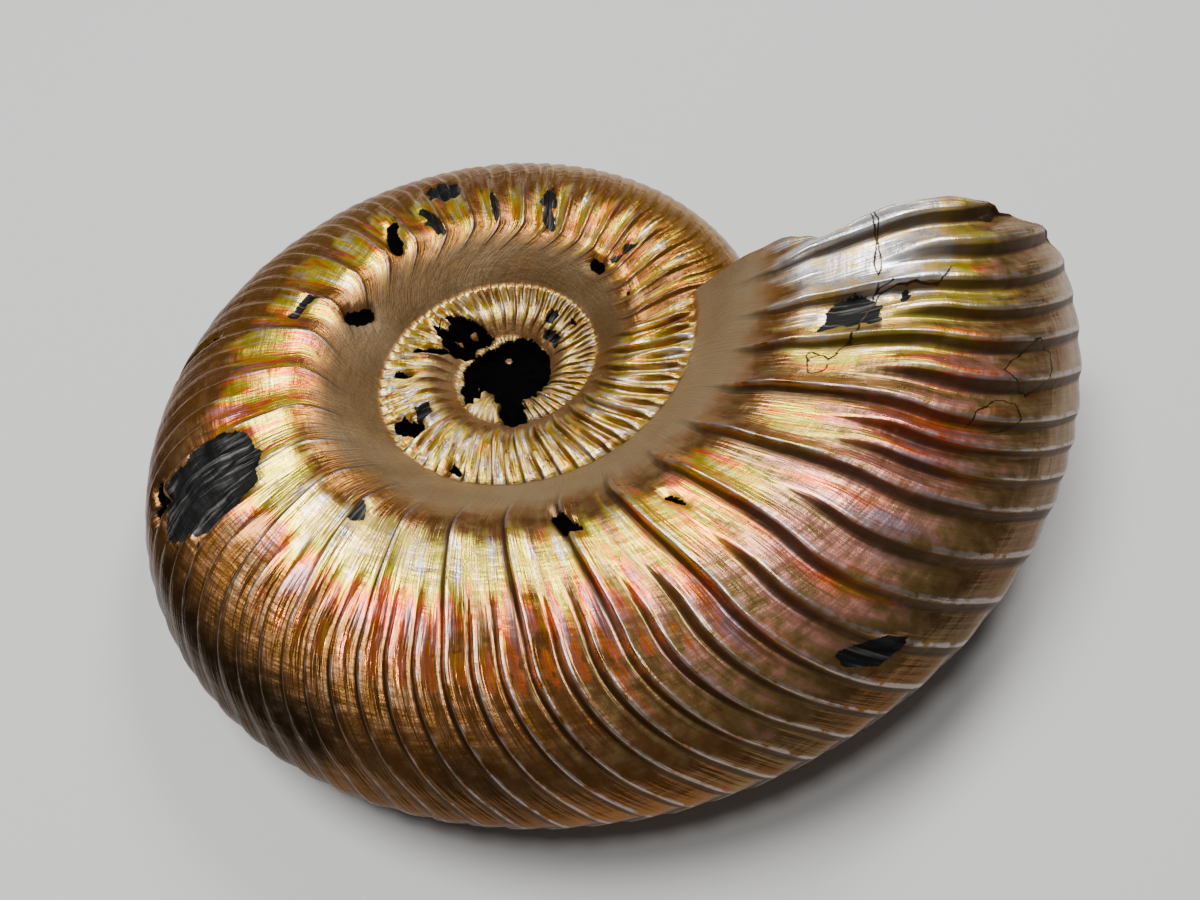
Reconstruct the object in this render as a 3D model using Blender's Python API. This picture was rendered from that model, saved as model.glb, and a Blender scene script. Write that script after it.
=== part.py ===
"""A pyritized ammonite: one coiled, ribbed shell that lies on its side on a table.

The surface is a grid of columns, one on each rib's crest and one in each groove, that run from the
umbilical seam over the flank to the outer edge and down the other side. Growth is the angle of the
coil in radians: 0 just past the broken end, and negative further in. A place on the flank goes from
0 at the seam to 1 at the outer edge. Lengths are in millimetres until the mesh is made.
"""
import math

import bmesh
import bpy
import numpy as np
from mathutils import Matrix, Vector

MM = 0.001
TURN = 2 * math.pi

# The coil: an outer spiral, an umbilical seam and a half thickness, each growing with the angle.
OUTER_RADIUS = 29.7
OUTER_GROWTH = 0.122
SEAM_RADIUS = 10.15
SEAM_GROWTH = 0.1187
SEAM_SLOWING = -0.0008
HALF_THICKNESS = 6.6
THICKNESS_GROWTH = 0.133

# The section of a whorl: a rounded umbilical wall up to a shoulder, then a bulging flank.
SHOULDER_AT = 0.33
WALL_ROUNDING = 1.6
FLANK_POWER = 2.31
FLANK_ROOT = 0.55
SECTION_STEPS = 60
TANGENT_STEP = 0.01

# Primary ribs, counted inward from the broken end. Around some of them the ribs are shifted: by an
# angle, at a rib's number, over a number of ribs. In some gaps stand two secondary ribs, and in the
# others one.
PRIMARIES_A_TURN = 34
FIRST_PRIMARY = math.radians(-23.5)
SHIFTS = (
    (math.radians(-26.6), 21.5, 8.9),
    (math.radians(-3.3), 0.3, 1.4),
    (math.radians(3.5), 12, 3.2),
)
DOUBLE_GAPS = {3, *range(6, 23)}

# A rib's relief where the outer radius is OUTER_RADIUS, and its form across.
RIB_HEIGHT = 0.62
RIB_FULLNESS = 0.7
RIB_LEVEL = 0.35
GROOVE_AT = 0.66
CREST_BEHIND, CREST_AHEAD = 0.15, 0.24
PRIMARY_STARTS = (0.12, 0.34)
SECONDARY_STARTS = (0.42, 0.60)
KEEL_HEIGHT = 0.2
KEEL_FROM = 0.93
EDGE_FADE = 0.4

# How far a rib leans forward, over the wall, the middle of the flank and the outer part. Each lean is
# a mean, a swing around the coil and the growth of the most.
WALL_LEAN = (math.radians(4.7), math.radians(1.5), math.radians(-20))
WALL_TO = 0.32
MIDDLE_LEAN = (math.radians(2.3), math.radians(4.2), math.radians(-20))
MIDDLE_FROM, MIDDLE_TO = 0.22, 0.62
EDGE_LEAN = (math.radians(10.6), math.radians(1.2), math.radians(-75))
EDGE_FROM = 0.60
EDGE_POWER = 1.7

# The broken end, as places and growth angles, and the septum set back inside its rim.
END_PLACES = (0.0, 0.08, 0.2, 0.33, 0.5, 0.7, 1.0)
END_ANGLES = np.radians((-20, -14, -12, -16, -11.5, -12, -14.5))
END_CROWDING = math.radians(2)
END_CROWDED_COLUMNS = 40
LAST_START = math.radians(-18)
SEAM_FREE = 0.3
SEPTUM_RINGS = ((0.04, 0.0), (0.09, 0.9), (0.45, 1.4))
SEPTUM_DEPTH = 1.2

# Rows of points on the upper and lower side, as shares of the way from the seam to the place that
# the next whorl covers, and from there to the outer edge.
UPPER_INNER_ROWS = (0, 0.22, 0.42, 0.70, 1)
UPPER_OUTER_ROWS = (0.2, 0.4, 0.58, 0.76, 0.9, 1)
LOWER_INNER_ROWS = (0, 0.30, 0.62, 1)
LOWER_OUTER_ROWS = (0.25, 0.5, 0.74, 0.9)

# The centre: a hollow above, where the innermost whorls are missing, and a knob below.
HOLLOW_WALL = 0.8
HOLLOW_FLOOR = 0.0
KNOB_HEIGHT = -1.1

# The rest pose: the coil is lifted on the side where its whorl is thickest, its front is turned to
# -Y, and the crests that carry it are worn flat.
LIFT = math.radians(4.75)
LIFTED_SIDE = math.radians(-12.5)
FRONT_TURN = math.radians(21.5)
WEAR = 0.3
SHORTEST_EDGE = 0.01

NACRE_COLOUR = (0.42, 0.22, 0.10, 1)
NACRE_METALLIC = 0.8
NACRE_ROUGHNESS = 0.35


def smooth(low, high, x):
    share = np.clip((np.asarray(x) - low) / (high - low), 0, 1)
    return share * share * (3 - 2 * share)


def outer_radius(t):
    return OUTER_RADIUS * np.exp(OUTER_GROWTH * t)


def seam_radius(t):
    return SEAM_RADIUS * np.exp(SEAM_GROWTH * t + SEAM_SLOWING * t * t)


def half_thickness(t):
    return HALF_THICKNESS * np.exp(THICKNESS_GROWTH * t)


def shoulder_radius(t):
    return seam_radius(t) + SHOULDER_AT * (outer_radius(t) - seam_radius(t))


def flank_height(radius, t):
    """Half the whorl's thickness at a radius outside its shoulder."""
    across = (radius - shoulder_radius(t)) / (outer_radius(t) - shoulder_radius(t))
    return half_thickness(t) * (1 - np.clip(across, 0, 1) ** FLANK_POWER) ** FLANK_ROOT


def section(t):
    """The plain section of a whorl: radii, heights and places from the seam to the outer edge."""
    seam, shoulder = seam_radius(t), shoulder_radius(t)
    seam_height = flank_height(seam, t - TURN)
    wall = np.linspace(0, 1, SECTION_STEPS)[:-1]
    wall_radius = seam + (shoulder - seam) * wall
    wall_height = seam_height + (half_thickness(t) - seam_height) * (1 - (1 - wall) ** WALL_ROUNDING)
    across = np.sin(np.linspace(0, math.pi / 2, SECTION_STEPS))
    flank_radius = shoulder + (outer_radius(t) - shoulder) * across
    radius = np.concatenate([wall_radius, flank_radius])
    height = np.concatenate([wall_height, flank_height(flank_radius, t)])
    length = np.concatenate([[0], np.cumsum(np.hypot(np.diff(radius), np.diff(height)))])
    return radius, height, length / length[-1]


def next_seam(t):
    """The place on the flank where the next whorl's seam lies."""
    radius, _, places = section(t)
    return float(np.interp(seam_radius(t + TURN), radius, places))


def primary_angle(number):
    angle = FIRST_PRIMARY - TURN * number / PRIMARIES_A_TURN
    for size, middle, width in SHIFTS:
        angle += size * math.exp(-(((number - middle) / width) ** 2))
    return angle


def secondaries_after(number):
    """How many secondary ribs stand between a primary rib and the next one towards the end."""
    return 2 if (number - 1) % PRIMARIES_A_TURN in DOUBLE_GAPS else 1


def rib_crests(turns):
    """The growth angles of all ribs, and of the primary ribs alone."""
    ribs, primaries = [], []
    for number in range(PRIMARIES_A_TURN * turns, -4, -1):
        here, after = primary_angle(number), primary_angle(number - 1)
        steps = secondaries_after(number) + 1
        primaries.append(here)
        ribs += [here + (after - here) * step / steps for step in range(steps)]
    return np.array(ribs), np.array(primaries)


RIBS, PRIMARIES = rib_crests(3)
COLUMNS_A_TURN = 2 * (2 * PRIMARIES_A_TURN + len(DOUBLE_GAPS))


def lean(start, at):
    """How far forward the rib that starts at this growth has come at a place on the flank."""
    outer = np.clip((at - EDGE_FROM) / (1 - EDGE_FROM), 0, 1) ** EDGE_POWER
    shares = smooth(0, WALL_TO, at), smooth(MIDDLE_FROM, MIDDLE_TO, at), outer
    total = 0
    for (mean, swing, toward), share in zip((WALL_LEAN, MIDDLE_LEAN, EDGE_LEAN), shares):
        total = total + (mean + swing * np.cos(start - toward)) * share
    return total


def past_crest(t, crests):
    """How far growth t lies past the last crest, as a share of the way to the next one."""
    return np.interp(t, crests, np.arange(len(crests))) % 1


def relief(t, at):
    """Height of the ribs and the keel above the plain surface."""
    start = t - lean(t, at)
    past = past_crest(start, RIBS)
    fall = 0.5 + 0.5 * np.cos(math.pi * past / GROOVE_AT)
    rise = 0.5 - 0.5 * np.cos(math.pi * (past - GROOVE_AT) / (1 - GROOVE_AT))
    ribbed = np.where(past < GROOVE_AT, fall, rise) ** RIB_FULLNESS - RIB_LEVEL
    past = past_crest(start, PRIMARIES)
    crest = np.exp(-((past / CREST_AHEAD) ** 2)) + np.exp(-(((1 - past) / CREST_BEHIND) ** 2))
    outer = smooth(*SECONDARY_STARTS, at)
    inner = smooth(*PRIMARY_STARTS, at) * (1 - outer)
    keel = KEEL_HEIGHT * smooth(KEEL_FROM, 1, at)
    faded = 1 - EDGE_FADE * smooth(EDGE_FROM, 1, at)
    size = outer_radius(t) / OUTER_RADIUS
    return size * (RIB_HEIGHT * faded * (inner * crest + outer * ribbed) + keel)


def surface_point(t, at, side):
    """A point of the ribbed surface, on the upper side (+1) or the lower side (-1)."""
    radius, height, places = section(t)
    behind, ahead = max(at - TANGENT_STEP, 0), min(at + TANGENT_STEP, 1)
    run = np.interp(ahead, places, radius) - np.interp(behind, places, radius)
    climb = np.interp(ahead, places, height) - np.interp(behind, places, height)
    if at >= 1:
        run, climb = 0, -1
    raised = relief(t, at) / math.hypot(run, climb)
    r = np.interp(at, places, radius) - raised * climb
    z = np.interp(at, places, height) + raised * run
    return Vector((r * math.cos(t), r * math.sin(t), side * z))


def column_starts(turns):
    """Where each column starts: on the crest and in the groove of every rib, up to the broken end."""
    grooves = RIBS[:-1] + GROOVE_AT * np.diff(RIBS)
    starts = np.sort(np.concatenate([RIBS, grooves]))
    return starts[starts < LAST_START][-turns * COLUMNS_A_TURN - 1:]


def end_angle(at):
    """The growth angle of the broken end at a place on the flank."""
    return np.interp(at, END_PLACES, END_ANGLES)


def column_angle(starts, index, at):
    """The growth angle of a column's point at a place on the flank.

    At the seam, a column meets the one that starts a turn further in. Near the broken end, the
    columns crowd together, and the last one lies on the end.
    """
    start = starts[index]
    angle = start + lean(start, at)
    held = 1 - smooth(0, SEAM_FREE, at)
    if index >= COLUMNS_A_TURN:
        inner = starts[index - COLUMNS_A_TURN]
        angle += (inner + lean(inner, next_seam(inner)) + TURN - start) * held
    if index == len(starts) - 1:
        return angle * held + end_angle(at) * (1 - held)
    if index > len(starts) - END_CROWDED_COLUMNS:
        room = (end_angle(at) - angle) / END_CROWDING
        crowded = end_angle(at) - END_CROWDING * np.log1p(np.exp(room))
        return angle * held + crowded * (1 - held)
    return angle


def places(t, inner_shares, outer_shares):
    """Places of the rows up to the next whorl's seam, and of those beyond it."""
    cover = next_seam(t)
    return [cover * share for share in inner_shares], [cover + (1 - cover) * s for s in outer_shares]


class Shell:
    """The grid of vertices and the faces between them."""

    def __init__(self, turns):
        self.mesh = bmesh.new()
        self.starts = column_starts(turns)
        self.last = len(self.starts) - 1
        self.first_whole = self.last - COLUMNS_A_TURN
        self.upper = []
        self.lower = []
        for index, start in enumerate(self.starts):
            upper = places(start, UPPER_INNER_ROWS, UPPER_OUTER_ROWS)
            lower = places(start, LOWER_INNER_ROWS, LOWER_OUTER_ROWS)
            self.upper.append(self.side_column(self.upper, index, upper, 1))
            self.lower.append(self.side_column(self.lower, index, lower, -1))
            if index >= self.first_whole:
                self.lower[index].append(self.upper[index][-1])

    def side_column(self, columns, index, rows, side):
        """One column on one side: its seam vertex is the covering row of the whorl inside it."""
        inner, outer = rows
        column = []
        if index >= COLUMNS_A_TURN:
            column.append(columns[index - COLUMNS_A_TURN][len(inner) - 1])
            inner = inner[1:]
        for at in inner + (outer if index >= self.first_whole else []):
            point = surface_point(column_angle(self.starts, index, at), at, side)
            column.append(self.mesh.verts.new(point))
        return column

    def skin(self):
        """The flanks, with the inner whorls' faces only up to the seam that covers them."""
        for columns, flipped in ((self.upper, False), (self.lower, True)):
            for index in range(self.last):
                near, far = columns[index], columns[index + 1]
                for row in range(min(len(near), len(far)) - 1):
                    corners = [near[row], near[row + 1], far[row + 1], far[row]]
                    self.mesh.faces.new(corners[::-1] if flipped else corners)

    def ring(self, loop, points):
        """A new ring at these points, joined by quads to a loop of vertices."""
        inside = [self.mesh.verts.new(point) for point in points]
        for k, vertex in enumerate(loop):
            after = (k + 1) % len(loop)
            self.mesh.faces.new([vertex, loop[after], inside[after], inside[k]])
        return inside

    def fan(self, loop, centre):
        middle = self.mesh.verts.new(centre)
        for k, vertex in enumerate(loop):
            self.mesh.faces.new([vertex, loop[(k + 1) % len(loop)], middle])

    def broken_end(self):
        """The end face: a rim, and a septum set back inside it."""
        upper_cover, lower_cover = len(UPPER_INNER_ROWS) - 1, len(LOWER_INNER_ROWS) - 1
        over = self.upper[self.last] + self.lower[self.last][-2::-1]
        under = self.lower[self.first_whole][lower_cover + 1:]
        under += self.upper[self.first_whole][-2:upper_cover:-1]
        loop = over + under
        middle = Vector(np.mean([vertex.co for vertex in loop], axis=0))
        middle.z = 0
        back = Vector((math.sin(END_ANGLES[-1]), -math.cos(END_ANGLES[-1]), 0))
        edge = loop
        for inset, depth in SEPTUM_RINGS:
            edge = self.ring(edge, [vertex.co.lerp(middle, inset) + back * depth for vertex in loop])
        self.fan(edge, middle + back * SEPTUM_DEPTH)

    def centre(self):
        """The hollow above and the knob below, inside the innermost seam."""
        for columns, side in ((self.upper, 1), (self.lower, -1)):
            seam = [columns[index][0] for index in range(COLUMNS_A_TURN + 1)]
            cover = len(UPPER_INNER_ROWS if side > 0 else LOWER_INNER_ROWS) - 1
            loop = seam + columns[0][cover - 1:0:-1]
            if side > 0:
                floor = [Vector((v.co.x * HOLLOW_WALL, v.co.y * HOLLOW_WALL, HOLLOW_FLOOR)) for v in loop]
                loop = self.ring(loop, floor)
                self.fan(loop, Vector((0, 0, HOLLOW_FLOOR)))
            else:
                self.fan(loop[::-1], Vector((0, 0, KNOB_HEIGHT)))


def lay_down(mesh):
    """Puts the coil in its rest pose, and wears flat the crests that it lies on."""
    hinge = Vector((math.sin(LIFTED_SIDE), -math.cos(LIFTED_SIDE), 0))
    turn = Matrix.Rotation(FRONT_TURN, 4, "Z") @ Matrix.Rotation(LIFT, 4, hinge)
    bmesh.ops.transform(mesh, matrix=turn, verts=mesh.verts)
    corners = np.array([vertex.co for vertex in mesh.verts])
    low, high = corners.min(0), corners.max(0)
    drop = Vector((-(low[0] + high[0]) / 2, -(low[1] + high[1]) / 2, -low[2] - WEAR))
    bmesh.ops.translate(mesh, vec=drop, verts=mesh.verts)
    bmesh.ops.bisect_plane(
        mesh,
        geom=mesh.verts[:] + mesh.edges[:] + mesh.faces[:],
        plane_co=(0, 0, 0),
        plane_no=(0, 0, -1),
        clear_outer=True,
    )
    bmesh.ops.remove_doubles(mesh, verts=mesh.verts, dist=SHORTEST_EDGE)
    bmesh.ops.holes_fill(mesh, edges=[edge for edge in mesh.edges if edge.is_boundary], sides=0)


def nacre():
    material = bpy.data.materials.new("nacre")
    material.use_nodes = True
    shader = material.node_tree.nodes["Principled BSDF"]
    shader.inputs["Base Color"].default_value = NACRE_COLOUR
    shader.inputs["Metallic"].default_value = NACRE_METALLIC
    shader.inputs["Roughness"].default_value = NACRE_ROUGHNESS
    return material


def ammonite():
    shell = Shell(2)
    shell.skin()
    shell.broken_end()
    shell.centre()
    mesh = shell.mesh
    bmesh.ops.triangulate(mesh, faces=mesh.faces[:], quad_method="SHORT_EDGE")
    bmesh.ops.recalc_face_normals(mesh, faces=mesh.faces[:])
    lay_down(mesh)
    bmesh.ops.triangulate(mesh, faces=mesh.faces[:])
    bmesh.ops.scale(mesh, vec=(MM, MM, MM), verts=mesh.verts)
    data = bpy.data.meshes.new("ammonite")
    mesh.to_mesh(data)
    mesh.free()
    data.materials.append(nacre())
    made = bpy.data.objects.new("ammonite", data)
    bpy.context.scene.collection.objects.link(made)


for leftover in list(bpy.data.objects):
    bpy.data.objects.remove(leftover)
ammonite()
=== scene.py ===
"""The looks of a pyritized ammonite: fine ribs, broken places and a pearly, metallic skin.

The skin is a grid of columns that run along the ribs, from the umbilical seam over the flank to
the outer edge. Growth is the angle of the coil in radians: 0 just past the broken end, and negative
further in. A place on the flank goes from 0 at the seam to 1 at the outer edge. A column's start is
the growth at which its rib leaves the seam. Lengths are in millimetres until the mesh is made.
"""
import itertools
import math

import bpy
import numpy as np
from mathutils import Matrix, Vector


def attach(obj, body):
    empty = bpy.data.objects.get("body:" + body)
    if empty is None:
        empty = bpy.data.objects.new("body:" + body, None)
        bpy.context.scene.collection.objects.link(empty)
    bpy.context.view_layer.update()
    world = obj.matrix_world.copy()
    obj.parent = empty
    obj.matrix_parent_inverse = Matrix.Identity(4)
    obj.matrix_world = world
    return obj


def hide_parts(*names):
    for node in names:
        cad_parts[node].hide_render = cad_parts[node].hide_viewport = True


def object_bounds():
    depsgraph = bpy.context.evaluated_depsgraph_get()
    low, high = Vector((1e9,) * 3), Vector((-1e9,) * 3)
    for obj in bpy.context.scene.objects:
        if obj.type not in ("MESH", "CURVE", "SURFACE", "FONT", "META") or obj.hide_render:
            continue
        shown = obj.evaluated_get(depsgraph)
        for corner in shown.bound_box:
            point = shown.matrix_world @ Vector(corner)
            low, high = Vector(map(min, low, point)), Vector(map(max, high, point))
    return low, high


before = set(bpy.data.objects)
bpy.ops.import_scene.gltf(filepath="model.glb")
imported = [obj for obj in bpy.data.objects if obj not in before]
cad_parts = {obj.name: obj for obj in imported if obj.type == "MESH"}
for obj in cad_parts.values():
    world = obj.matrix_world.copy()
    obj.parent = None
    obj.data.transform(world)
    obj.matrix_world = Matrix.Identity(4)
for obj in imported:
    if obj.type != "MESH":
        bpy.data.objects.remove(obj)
cad_box = [list(corner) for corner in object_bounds()]

MM = 0.001
TURN = 2 * math.pi

# The coil: an outer spiral, an umbilical seam and a half thickness, each growing with the angle.
OUTER_RADIUS = 29.7
OUTER_GROWTH = 0.122
SEAM_RADIUS = 10.15
SEAM_GROWTH = 0.1187
SEAM_SLOWING = -0.0008
HALF_THICKNESS = 6.6
THICKNESS_GROWTH = 0.133

# The section of a whorl: a rounded umbilical wall up to a shoulder, then a bulging flank.
SHOULDER_AT = 0.33
WALL_ROUNDING = 1.6
FLANK_POWER = 2.31
FLANK_ROOT = 0.55
SECTION_STEPS = 60

# The growth angles and places at which the plain surface is worked out beforehand, and how far to each
# side its slope is measured.
TANGENT_STEP = 0.01
TABLE_ANGLES = np.radians(np.arange(-1150, 26))
TABLE_PLACES = np.linspace(0, 1, 401)

# Primary ribs, counted inward from the broken end. Around some of them the ribs are shifted: by an
# angle, at a rib's number, over a number of ribs. In some gaps stand two secondary ribs, and in the
# others one.
PRIMARIES_A_TURN = 34
FIRST_PRIMARY = math.radians(-23.5)
SHIFTS = (
    (math.radians(-26.6), 21.5, 8.9),
    (math.radians(-3.3), 0.3, 1.4),
    (math.radians(3.5), 12, 3.2),
)
DOUBLE_GAPS = {3, *range(6, 23)}

# A rib's relief where the outer radius is OUTER_RADIUS: its height and level over the plain surface, how
# full it is, how much one differs from the next, and where the groove is deepest. The crest of a primary
# rib is steep behind and slopes ahead. Then where ribs start on the flank and fade towards the edge.
RIB_HEIGHT = 0.62
RIB_LEVEL = 0.35
RIB_FULLNESS = 0.75
RIB_CHANCE = 0.16
GROOVE_AT = 0.72
CREST_BEHIND, CREST_AHEAD = 0.05, 0.2
CREST_SLOPE = 1.4
PRIMARY_STARTS = (0.12, 0.34)
SECONDARY_STARTS = (0.42, 0.60)
EDGE_FADE = 0.4
RIM_FADE = 0.65
RIM_PLACES = (0.8, 0.95)
KEEL_HEIGHT = 0.2
KEEL_FROM = 0.93

# On the first half of the last turn the ribs are soft folds, and low on the outer flank.
SOFT_GROWTHS = np.radians((-165, -205))
SOFT_PLACES = (0.45, 0.62)
SOFT_RIBS = 0.6
FOLDED_RIBS = 0.65

# On the inner turns the relief is higher and secondary ribs start nearer the seam, and all ribs are
# low where they meet the next turn.
INNER_GROWTHS = np.radians((-372, -386))
INNER_RELIEF = 0.7
INNER_SECONDARIES = 0.18
SEAM_CALM = 0.15
SEAM_CALM_REACH = 0.09

# How far a rib leans forward, over the wall, the middle of the flank and the outer part. Each lean is
# a mean, a swing around the coil and the growth of the most. A rib also wanders a little.
WALL_LEAN = np.radians((4.7, 1.5, -20))
WALL_TO = 0.32
MIDDLE_LEAN = np.radians((2.3, 4.2, -20))
MIDDLE_FROM, MIDDLE_TO = 0.22, 0.62
EDGE_LEAN = np.radians((10.6, 1.2, -75))
EDGE_FROM = 0.60
EDGE_POWER = 1.7
WANDER = math.radians(0.6)
WANDERS_A_RIB, WANDERS_A_FLANK = 0.45, 3.0
WANDER_STARTS, WANDER_ENDS = (0.15, 0.4), (0.9, 1)

# The broken end, as places and growth angles, and the columns that crowd up to it.
END_PLACES = (0.0, 0.07, 0.15, 0.27, 0.33, 0.40, 0.50, 0.60, 0.74, 0.89, 1.0)
END_ANGLES = np.radians((-20, -14, -11.3, -13.6, -16.8, -14, -11.4, -10.8, -12.7, -13.6, -14.5))
END_RAGGED = math.radians(0.5)
END_LUMPS = (0.035, 0.013)
END_RAGGED_PLACES = (0.08, 0.25)
END_CROWDING = math.radians(1.2)
END_CROWDED_COLUMNS = 160
LAST_START = math.radians(-18)
SEAM_FREE = 0.3

# Columns at these shares of the way from one rib to the next, and rows on the upper and lower side
# of each turn, innermost first, up to where the next turn covers it, and beyond that.
TURNS = 3
PHASES = (0, 0.05, 0.12, 0.24, 0.40, 0.54, 0.66, 0.76, 0.85, 0.93)
INNER_ROWS = {1: (9, 13, 26), -1: (4, 7, 11)}
OUTER_ROWS = {1: 30, -1: 12}

# The centre above is broken out down to a rough floor, inside an outline in the coil's own plane, with a
# shallower break beside it. Round bits, each an x, a y and a radius, are left standing in both. The
# centre below is whole.
PIT = (
    (-3.0, -0.15), (-2.15, 1.5), (-1.4, 2.0), (-0.4, 2.0), (0.4, 2.2), (1.1, 2.1), (1.75, 1.55),
    (2.05, 0.4), (1.9, -0.7), (1.45, -1.65), (0.4, -2.4), (-0.35, -3.0), (-0.3, -3.7), (-1.0, -3.9),
    (-1.6, -3.5), (-1.65, -2.6), (-1.35, -2.0), (-1.4, -1.0), (-2.0, -0.4), (-2.2, -1.1), (-2.9, -1.0),
)
PIT_BITS = (
    (-2.14, -2.43, 0.5), (0.75, -3.83, 0.35), (0, -2.42, 0.28), (0.05, 1.01, 0.16), (-2.32, -1.1, 0.14),
)
PIT_FLOOR = 0.1
PIT_EDGE = (-0.1, 0.35)
PIT_ROUGHNESS = 0.3
PIT_LUMPS = 0.5
PIT_LOWEST = -0.3
BROKEN = (
    (-3.12, 4.61), (-2.16, 4.73), (-1.17, 4.17), (-0.52, 3.31), (-0.17, 2.63), (-0.63, 2.26),
    (-1.3, 2.31), (-1.89, 1.86), (-2.51, 2.05), (-2.9, 3.04), (-2.85, 3.97),
)
BROKEN_BITS = ((-2.28, 4.13, 0.3), (-1.15, 3.0, 0.18), (-2.0, 2.75, 0.16))
BROKEN_EDGE = (-0.1, 0.2)
BROKEN_DEPTH = 0.45
BIT_RAGGED = 0.4
CENTRE_REACH = 5.5
CENTRE_RAGGED = 0.14
CENTRE_LUMPS = (0.4, 0.18)
KNOB_HEIGHT = -1.1

# Places where the shell is lost and dark stone shows, above and on the lower side: corners, as degrees
# of growth and places on the flank.
LOST_SHELL = (
    (
        (-181, 0.51), (-177, 0.44), (-171.3, 0.405), (-169.7, 0.425), (-164, 0.45), (-163.2, 0.64),
        (-165.3, 0.71), (-169.3, 0.80), (-171.3, 0.795), (-174.3, 0.745), (-178, 0.76), (-180, 0.61),
    ),
    ((-36.7, 0.35), (-30.3, 0.36), (-28.6, 0.43), (-30.3, 0.465), (-33.3, 0.46), (-34.3, 0.40)),
    ((-29.4, 0.50), (-27.4, 0.49), (-27.2, 0.52), (-29.0, 0.525)),
    ((-278, 0.46), (-272, 0.48), (-268, 0.52), (-267.5, 0.60), (-272, 0.63), (-277, 0.61)),
    ((-267.5, 0.27), (-264, 0.28), (-263, 0.44), (-265, 0.47), (-267, 0.42)),
    ((-309, 0.28), (-304, 0.29), (-301.5, 0.42), (-303, 0.54), (-306, 0.50), (-307, 0.38)),
    ((-287.5, 0.27), (-285.5, 0.29), (-284.5, 0.44), (-286, 0.49), (-287.5, 0.40)),
    ((-342.5, 0.29), (-340.5, 0.28), (-339, 0.38), (-341, 0.46), (-343, 0.40)),
    ((-221, 0.33), (-216, 0.36), (-212.5, 0.385), (-214, 0.41), (-220, 0.38)),
    ((-140.6, 0.295), (-137.5, 0.29), (-136, 0.32), (-138.5, 0.345), (-140.2, 0.33)),
    ((-74, 0.80), (-69, 0.83), (-66, 0.875), (-69, 0.89), (-73, 0.85)),
    ((-531, 0.26), (-523, 0.24), (-516, 0.33), (-520, 0.38), (-530, 0.36)),
    ((-694, 0.24), (-684, 0.22), (-681, 0.32), (-687, 0.42), (-693, 0.38)),
    ((-714, 0.10), (-690, 0.08), (-684, 0.18), (-700, 0.24), (-712, 0.22)),
)
LOST_BELOW = (
    ((-128, 0.42), (-118, 0.38), (-109, 0.46), (-111, 0.66), (-119, 0.72), (-127, 0.60)),
    ((-214, 0.55), (-209, 0.50), (-203, 0.56), (-204, 0.69), (-211, 0.72)),
    ((-300, 0.26), (-293, 0.25), (-288, 0.34), (-291, 0.47), (-298, 0.42)),
    ((-60, 0.70), (-54, 0.66), (-49, 0.72), (-51, 0.83), (-58, 0.84)),
    ((-470, 0.20), (-462, 0.18), (-455, 0.27), (-461, 0.36), (-470, 0.31)),
)
LOST_DEPTH = 0.13
LOST_EDGE = (-0.04, 0.1)
LOST_RAGGED = 0.22
LOST_LUMPS = 0.3
MARK_REACH = math.radians(16)
MARK_LUMPS = (0.45, 0.2)

# Dark holes above and on the lower side, as strokes from one spot to another with a half width and a
# depth in millimetres.
HOLES = (
    ((-179, 0.80), (-174.8, 0.80), 0.55, 0.5),
    ((-223, 0.15), (-219, 0.19), 0.42, 0.5),
    ((-337, 0.215), (-332.5, 0.215), 0.33, 0.45),
    ((-254, 0.41), (-250, 0.29), 0.34, 0.3),
    ((-209.5, 0.71), (-205, 0.86), 0.30, 0.35),
    ((-95.6, 0.255), (-93.4, 0.32), 0.36, 0.6),
    ((-76.5, 0.34), (-74.8, 0.37), 0.16, 0.3),
    ((-526, 0.48), (-517, 0.41), 0.42, 0.5),
    ((-491, 0.50), (-487.5, 0.52), 0.20, 0.3),
    ((-583, 0.10), (-573, 0.40), 0.16, 0.3),
    ((-558, 0.46), (-555, 0.36), 0.24, 0.3),
    ((-706, 0.42), (-703, 0.43), 0.15, 0.2),
    ((-359, 0.24), (-356, 0.28), 0.12, 0.15),
)
HOLES_BELOW = (
    ((-100, 0.33), (-97, 0.36), 0.3, 0.4),
    ((-181, 0.25), (-176, 0.28), 0.26, 0.35),
    ((-240, 0.62), (-238, 0.70), 0.24, 0.3),
    ((-330, 0.30), (-327, 0.31), 0.3, 0.4),
    ((-600, 0.2), (-590, 0.25), 0.3, 0.4),
)
HOLE_RAGGED = 0.12
HOLE_EDGE = 0.16

# Cracks in the shell above, most of them near the broken end, as lines of spots.
CRACKS = (
    ((-40.5, 0.40), (-37, 0.425), (-33, 0.43), (-27, 0.46), (-20, 0.455), (-12.7, 0.45)),
    ((-15, 0.44), (-18.5, 0.45), (-22, 0.435), (-26, 0.455), (-29, 0.44)),
    ((-44.3, 0.365), (-40.2, 0.345), (-40.5, 0.39), (-43, 0.40), (-44.3, 0.365)),
    ((-36, 0.73), (-33, 0.76), (-30, 0.80), (-30, 0.85), (-34, 0.84), (-37, 0.80), (-36, 0.73)),
    ((-43.5, 0.70), (-40, 0.73), (-38.5, 0.78), (-41, 0.80), (-43, 0.76)),
    ((-27.5, 0.47), (-26, 0.52), (-25.8, 0.57), (-23, 0.60)),
    ((-163.5, 0.69), (-160.5, 0.74), (-157.5, 0.83)),
)
CRACK_WIDTH = 0.035
CRACK_REACH = 0.2
CRACK_DEPTH = 0.05
CRACK_WANDER = 0.12

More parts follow.
